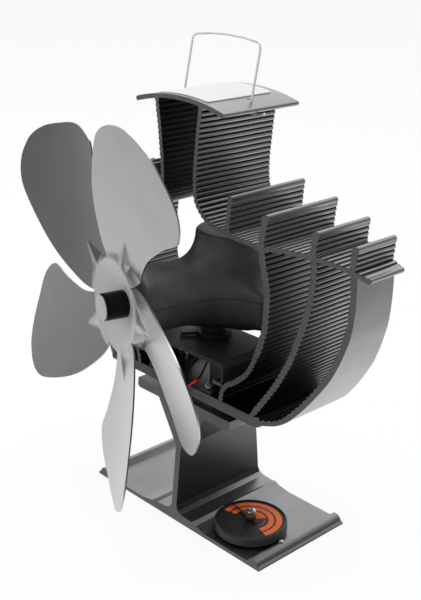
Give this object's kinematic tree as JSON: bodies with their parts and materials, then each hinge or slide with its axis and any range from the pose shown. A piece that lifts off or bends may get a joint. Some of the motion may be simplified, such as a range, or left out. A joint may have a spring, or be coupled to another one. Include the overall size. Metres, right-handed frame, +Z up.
{
  "type": "stove fan",
  "caption": "Heat-driven stove fan with a folded foot, ribbed heat sink, turning motor head, dished bladed rotor, wire bail and a dial thermometer on the foot.",
  "frame": {"origin": "centre of the foot's underside, where it rests on the stove top", "axes": "+Z up, +X to the stand's right, the fan side faces -Y; at rest the head is turned 13.2 degrees about the vertical, so that the rotor faces a little to -X"},
  "size_m": [0.2118, 0.131, 0.2607],
  "materials": {
    "black_anodised": "black anodised, satin",
    "silver_sheet": "clear anodised, satin",
    "bright_steel": "bright",
    "black_plastic": "fine matt",
    "gloss_black": "gloss",
    "label_white": "satin sheet",
    "ceramic_white": "matt",
    "graphite_grey": "soft graphite sheet",
    "pellet_grey": "dull semiconductor and solder",
    "ferrite": "matt",
    "iron": "dull lamination steel",
    "copper": "enamelled copper",
    "bronze": "sintered bronze",
    "brass": "polished",
    "black_rubber": "matt",
    "red_insulation": "soft insulation",
    "black_insulation": "soft insulation",
    "dial_black": "matt black",
    "needle_white": "white"
  },
  "bodies": {
    "stand": {"base_extrusion": "black_anodised", "heat_sink": "black_anodised", "hot_side_pad": "graphite_grey", "hot_ceramic": "ceramic_white", "pellet_layer": "pellet_grey", "cold_ceramic": "ceramic_white", "cold_side_pad": "graphite_grey", "clamp_washer_left": "bright_steel", "clamp_washer_right": "bright_steel", "clamp_screw_left": "bright_steel", "clamp_screw_right": "bright_steel", "motor_tray": "black_plastic", "tray_screw_left": "bright_steel", "tray_screw_right": "bright_steel", "label_plate": "label_white", "pivot_pin": "bright_steel", "pivot_clip": "bright_steel", "red_lead": "red_insulation", "black_lead": "black_insulation", "thermometer_cup": "gloss_black", "thermometer_dial": "dial_black", "thermometer_magnet": "ferrite", "bimetal_spiral": "brass", "thermometer_screw": "bright_steel", "foot_stud_inner": "bright_steel", "foot_stud_outer": "bright_steel"},
    "bail": {"bail_handle": "bright_steel"},
    "head": {"pivot_collar": "black_plastic", "head_upper_shell": "black_plastic", "head_lower_shell": "black_plastic", "head_screw_left": "bright_steel", "head_screw_right": "bright_steel", "motor_can": "bright_steel", "motor_end_cap": "black_plastic", "front_bearing": "bronze", "rear_bearing": "bronze", "magnet_left": "ferrite", "magnet_right": "ferrite", "brush_left": "copper", "brush_right": "copper", "motor_sleeve": "black_rubber"},
    "rotor": {"motor_shaft": "bright_steel", "armature_core": "iron", "winding_1": "copper", "winding_2": "copper", "winding_3": "copper", "commutator": "copper", "fan_blades": "silver_sheet", "hub_boss": "gloss_black", "hub_disc": "silver_sheet", "hub_collar": "black_plastic"},
    "needle": {"thermometer_pointer": "needle_white", "thermometer_hub": "brass"}
  },
  "joints": [
    {"name": "head_turn", "type": "hinge", "parent": "stand", "child": "head", "pos_m": [0, -0.00335, 0.104], "axis": [0, 0, 1], "range_deg": [-11.8, 38.2]},
    {"name": "fan_spin", "type": "hinge", "parent": "head", "child": "rotor", "pos_m": [0, -0.00335, 0.1303], "axis": [0.2284, 0.9736, 0], "continuous": true},
    {"name": "bail_swing", "type": "hinge", "parent": "stand", "child": "bail", "pos_m": [0, -0.00335, 0.23022], "axis": [1, 0, 0], "range_deg": [-2, 26]},
    {"name": "pointer_turn", "type": "hinge", "parent": "stand", "child": "needle", "pos_m": [0.039, -0.011, 0.0095], "axis": [0, 0, 1], "range_deg": [-262, 4]}
  ]
}
